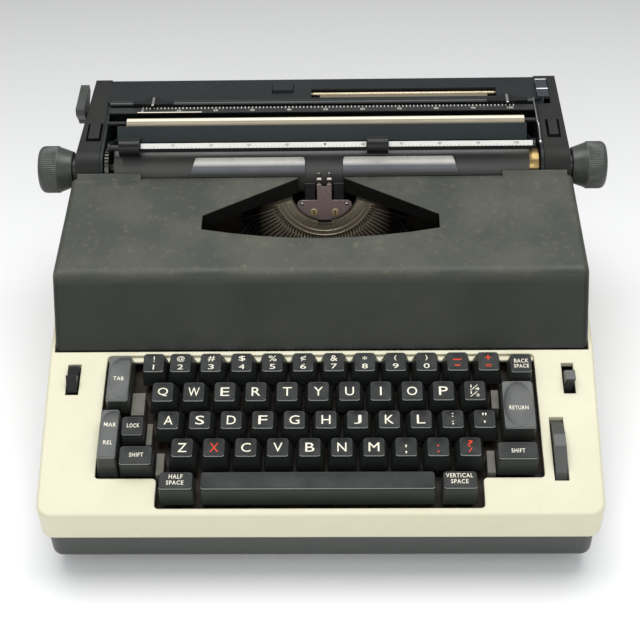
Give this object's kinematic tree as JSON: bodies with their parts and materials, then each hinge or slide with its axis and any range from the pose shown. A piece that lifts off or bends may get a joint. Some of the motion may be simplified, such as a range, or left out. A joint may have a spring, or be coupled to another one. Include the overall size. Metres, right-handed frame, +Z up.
{
  "type": "electric typewriter",
  "caption": "Portable electric typewriter with sloping keyboard, hinged top cover, swinging type bars and a sliding carriage that carries the platen.",
  "frame": {"origin": "on the desk, under the middle of the whole machine", "axes": "+X to the typist's right, +Y away from the typist, +Z up"},
  "size_m": [0.385, 0.315, 0.1552],
  "materials": {
    "cream_shell": "satin, warm cream",
    "dark_tray": "satin, dark grey",
    "foot_rubber": "dull",
    "cover_grey": "satin, dark green grey",
    "chassis_steel": "plain",
    "key_plastic": "satin, near black",
    "black_plastic": "satin black",
    "control_grey": "satin",
    "motor_paint": "satin",
    "belt_rubber": "dull",
    "bright_steel": "bright",
    "type_steel": "ground",
    "carriage_grey": "satin, dark green grey",
    "platen_rubber": "smooth",
    "knob_grey": "satin",
    "table_grey": "satin, blue grey",
    "white_scale": "satin white",
    "black_scale": "satin black"
  },
  "bodies": {
    "machine": {"base_tray": "dark_tray", "rubber_feet": "foot_rubber", "keyboard_deck": "cream_shell", "side_frames": "chassis_steel", "bars_and_rails": "chassis_steel", "key_guide_plates": "chassis_steel", "power_inlet": "black_plastic", "control_housings": "black_plastic", "motor": "motor_paint", "drive_belt": "belt_rubber", "card_holders": "bright_steel"},
    "cover": {"top_cover": "cover_grey"},
    "motor_pulley": {"motor_pulley": "type_steel"},
    "power_roller": {"power_roller": "belt_rubber"},
    "power_rocker": {"power_rocker": "black_plastic"},
    "ribbon_selector": {"ribbon_selector": "control_grey"},
    "impression_dial": {"impression_dial": "control_grey"},
    "type_basket": {"type_segment": "type_steel", "type_bars": "type_steel", "type_guide": "type_steel"},
    "striking_type_bar": {"striking_type_bar": "type_steel"},
    "ribbon_vibrator": {"ribbon_vibrator": "bright_steel"},
    "ribbon_spool_left": {"ribbon_spool_left": "black_plastic"},
    "ribbon_spool_right": {"ribbon_spool_right": "black_plastic"},
    "carriage": {"carriage_frame": "chassis_steel", "end_cap_left": "carriage_grey", "end_cap_right": "carriage_grey", "paper_table": "table_grey", "paper_guide_bar": "bright_steel", "margin_scale": "black_scale", "rear_carriage_cover": "carriage_grey"},
    "platen": {"platen_roller": "platen_rubber", "platen_shaft": "type_steel", "platen_knob_left": "knob_grey", "platen_knob_right": "knob_grey"},
    "feed_roller": {"feed_roller": "platen_rubber"},
    "bail": {"paper_bail": "bright_steel", "bail_scale": "white_scale"},
    "bail_rollers": {"bail_rollers": "black_plastic"},
    "margin_stop_left": {"margin_stop_left": "bright_steel"},
    "margin_stop_right": {"margin_stop_right": "bright_steel"},
    "paper_support": {"paper_support": "bright_steel"},
    "support_button": {"support_button": "knob_grey"},
    "carriage_release_levers": {"carriage_release_levers": "knob_grey"},
    "paper_release_lever": {"paper_release_lever": "knob_grey"},
    "bail_release_lever": {"bail_release_lever": "bright_steel"},
    "number_row_keys": {"number_row_keys": "key_plastic"},
    "upper_row_keys": {"upper_row_keys": "key_plastic"},
    "home_row_keys": {"home_row_keys": "key_plastic"},
    "lower_row_keys": {"lower_row_keys": "key_plastic"},
    "tab_key": {"tab_key": "key_plastic"},
    "margin_release_key": {"margin_release_key": "key_plastic"},
    "lock_key": {"lock_key": "key_plastic"},
    "shift_key_left": {"shift_key_left": "key_plastic"},
    "backspace_key": {"backspace_key": "key_plastic"},
    "return_key": {"return_key": "key_plastic"},
    "shift_key_right": {"shift_key_right": "key_plastic"},
    "half_space_key": {"half_space_key": "key_plastic"},
    "space_bar": {"space_bar": "key_plastic"},
    "vertical_space_key": {"vertical_space_key": "key_plastic"}
  },
  "joints": [
    {"name": "number_row_keys_press", "type": "hinge", "parent": "machine", "child": "number_row_keys", "pos_m": [0, 0.062, 0.038], "axis": [1, 0, 0], "range_deg": [0, 1.81], "stiffness_Nm_per_rad": 1.2, "springref_deg": -20.05},
    {"name": "upper_row_keys_press", "type": "hinge", "parent": "machine", "child": "upper_row_keys", "pos_m": [0, 0.062, 0.038], "axis": [1, 0, 0], "range_deg": [0, 1.57], "stiffness_Nm_per_rad": 1.2, "springref_deg": -20.05},
    {"name": "home_row_keys_press", "type": "hinge", "parent": "machine", "child": "home_row_keys", "pos_m": [0, 0.062, 0.038], "axis": [1, 0, 0], "range_deg": [0, 1.39], "stiffness_Nm_per_rad": 1.2, "springref_deg": -20.05},
    {"name": "lower_row_keys_press", "type": "hinge", "parent": "machine", "child": "lower_row_keys", "pos_m": [0, 0.062, 0.038], "axis": [1, 0, 0], "range_deg": [0, 1.25], "stiffness_Nm_per_rad": 1.2, "springref_deg": -20.05},
    {"name": "tab_key_press", "type": "hinge", "parent": "machine", "child": "tab_key", "pos_m": [0, 0.062, 0.038], "axis": [1, 0, 0], "range_deg": [0, 1.68], "stiffness_Nm_per_rad": 0.18, "springref_deg": -20.05},
    {"name": "margin_release_key_press", "type": "hinge", "parent": "machine", "child": "margin_release_key", "pos_m": [0, 0.062, 0.038], "axis": [1, 0, 0], "range_deg": [0, 1.32], "stiffness_Nm_per_rad": 0.18, "springref_deg": -20.05},
    {"name": "lock_key_press", "type": "hinge", "parent": "machine", "child": "lock_key", "pos_m": [0, 0.062, 0.038], "axis": [1, 0, 0], "range_deg": [0, 1.36], "stiffness_Nm_per_rad": 0.15, "springref_deg": -20.05},
    {"name": "shift_key_left_press", "type": "hinge", "parent": "machine", "child": "shift_key_left", "pos_m": [0, 0.062, 0.038], "axis": [1, 0, 0], "range_deg": [0, 1.22], "stiffness_Nm_per_rad": 0.18, "springref_deg": -20.05},
    {"name": "backspace_key_press", "type": "hinge", "parent": "machine", "child": "backspace_key", "pos_m": [0, 0.062, 0.038], "axis": [1, 0, 0], "range_deg": [0, 1.8], "stiffness_Nm_per_rad": 0.15, "springref_deg": -20.05},
    {"name": "return_key_press", "type": "hinge", "parent": "machine", "child": "return_key", "pos_m": [0, 0.062, 0.038], "axis": [1, 0, 0], "range_deg": [0, 1.47], "stiffness_Nm_per_rad": 0.22, "springref_deg": -20.05},
    {"name": "shift_key_right_press", "type": "hinge", "parent": "machine", "child": "shift_key_right", "pos_m": [0, 0.062, 0.038], "axis": [1, 0, 0], "range_deg": [0, 1.24], "stiffness_Nm_per_rad": 0.2, "springref_deg": -20.05},
    {"name": "half_space_key_press", "type": "hinge", "parent": "machine", "child": "half_space_key", "pos_m": [0, 0.062, 0.038], "axis": [1, 0, 0], "range_deg": [0, 1.12], "stiffness_Nm_per_rad": 0.2, "springref_deg": -20.05},
    {"name": "space_bar_press", "type": "hinge", "parent": "machine", "child": "space_bar", "pos_m": [0, 0.062, 0.038], "axis": [1, 0, 0], "range_deg": [0, 1.12], "stiffness_Nm_per_rad": 0.5, "springref_deg": -20.05},
    {"name": "vertical_space_key_press", "type": "hinge", "parent": "machine", "child": "vertical_space_key", "pos_m": [0, 0.062, 0.038], "axis": [1, 0, 0], "range_deg": [0, 1.12], "stiffness_Nm_per_rad": 0.2, "springref_deg": -20.05},
    {"name": "cover_open", "type": "hinge", "parent": "machine", "child": "cover", "pos_m": [0, -0.031, 0.092], "axis": [1, 0, 0], "range_deg": [0, 45]},
    {"name": "power_roller_spin", "type": "hinge", "parent": "machine", "child": "power_roller", "pos_m": [0, 0.02, 0.024], "axis": [1, 0, 0], "continuous": true},
    {"name": "motor_pulley_spin", "type": "hinge", "parent": "machine", "child": "motor_pulley", "pos_m": [-0.131, 0.11, 0.047], "axis": [1, 0, 0], "continuous": true},
    {"name": "power_rocker_tilt", "type": "hinge", "parent": "machine", "child": "power_rocker", "pos_m": [-0.15425, -0.0685, 0.07168], "axis": [1, 0, 0], "range_deg": [-12, 12]},
    {"name": "ribbon_selector_tilt", "type": "hinge", "parent": "machine", "child": "ribbon_selector", "pos_m": [0.15365, -0.069, 0.07155], "axis": [1, 0, 0], "range_deg": [-12, 12]},
    {"name": "impression_dial_turn", "type": "hinge", "parent": "machine", "child": "impression_dial", "pos_m": [0.1434, -0.11084, 0.04544], "axis": [1, 0, 0], "range_deg": [-60, 60]},
    {"name": "basket_shift", "type": "slide", "parent": "machine", "child": "type_basket", "axis": [0, 0.2079, 0.9781], "range_m": [-0.006, 0], "stiffness_N_per_m": 400, "springref_m": 0.015},
    {"name": "type_bar_strike", "type": "hinge", "parent": "type_basket", "child": "striking_type_bar", "pos_m": [0.002, 0.05145, 0.07172], "axis": [1, 0, 0], "range_deg": [-110, 0]},
    {"name": "ribbon_lift", "type": "slide", "parent": "type_basket", "child": "ribbon_vibrator", "axis": [0, 0.2079, 0.9781], "range_m": [0, 0.006]},
    {"name": "ribbon_spool_left_turn", "type": "hinge", "parent": "machine", "child": "ribbon_spool_left", "pos_m": [-0.112, 0.026, 0.1], "axis": [0, 0, 1], "continuous": true},
    {"name": "ribbon_spool_right_turn", "type": "hinge", "parent": "machine", "child": "ribbon_spool_right", "pos_m": [0.112, 0.026, 0.1], "axis": [0, 0, 1], "continuous": true},
    {"name": "carriage_travel", "type": "slide", "parent": "machine", "child": "carriage", "axis": [1, 0, 0], "range_m": [-0.127, 0.127]},
    {"name": "platen_turn", "type": "hinge", "parent": "carriage", "child": "platen", "pos_m": [0, 0.085, 0.1267], "axis": [1, 0, 0], "continuous": true},
    {"name": "feed_roller_turn", "type": "hinge", "parent": "carriage", "child": "feed_roller", "pos_m": [0, 0.096, 0.10765], "axis": [1, 0, 0], "continuous": true},
    {"name": "bail_lift", "type": "hinge", "parent": "carriage", "child": "bail", "pos_m": [0, 0.104, 0.134], "axis": [1, 0, 0], "range_deg": [-35, 0]},
    {"name": "bail_rollers_turn", "type": "hinge", "parent": "bail", "child": "bail_rollers", "pos_m": [0, 0.0782, 0.1489], "axis": [1, 0, 0], "continuous": true},
    {"name": "margin_stop_left_slide", "type": "slide", "parent": "carriage", "child": "margin_stop_left", "axis": [1, 0, 0], "range_m": [-0.006, 0.11]},
    {"name": "margin_stop_right_slide", "type": "slide", "parent": "carriage", "child": "margin_stop_right", "axis": [1, 0, 0], "range_m": [-0.11, 0.001]},
    {"name": "paper_support_raise", "type": "hinge", "parent": "carriage", "child": "paper_support", "pos_m": [0.0572, 0.1415, 0.1486], "axis": [1, 0, 0], "range_deg": [-80, 0]},
    {"name": "support_button_press", "type": "slide", "parent": "carriage", "child": "support_button", "axis": [0, 0, -1], "range_m": [0, 0.002], "stiffness_N_per_m": 200, "springref_m": -0.003},
    {"name": "carriage_release_pull", "type": "hinge", "parent": "carriage", "child": "carriage_release_levers", "pos_m": [0, 0.114, 0.116], "axis": [1, 0, 0], "range_deg": [0, 3.5], "stiffness_Nm_per_rad": 0.1, "springref_deg": -17.19},
    {"name": "paper_release_pull", "type": "hinge", "parent": "carriage", "child": "paper_release_lever", "pos_m": [-0.1676, 0.129, 0.141], "axis": [1, 0, 0], "range_deg": [0, 25]},
    {"name": "bail_release_press", "type": "hinge", "parent": "carriage", "child": "bail_release_lever", "pos_m": [0.1533, 0.145, 0.138], "axis": [1, 0, 0], "range_deg": [0, 8], "stiffness_Nm_per_rad": 0.02, "springref_deg": -17.19}
  ],
  "couplings": [
    {"joint": "motor_pulley_spin", "follows": "power_roller_spin", "ratio": 1.2778},
    {"joint": "shift_key_left_press", "follows": "basket_shift", "rad_per_m": -3.5511},
    {"joint": "shift_key_right_press", "follows": "basket_shift", "rad_per_m": -3.5918},
    {"joint": "ribbon_spool_right_turn", "follows": "ribbon_spool_left_turn", "ratio": 1},
    {"joint": "feed_roller_turn", "follows": "platen_turn", "ratio": -3.1731},
    {"joint": "bail_rollers_turn", "follows": "platen_turn", "ratio": -2.6191}
  ]
}
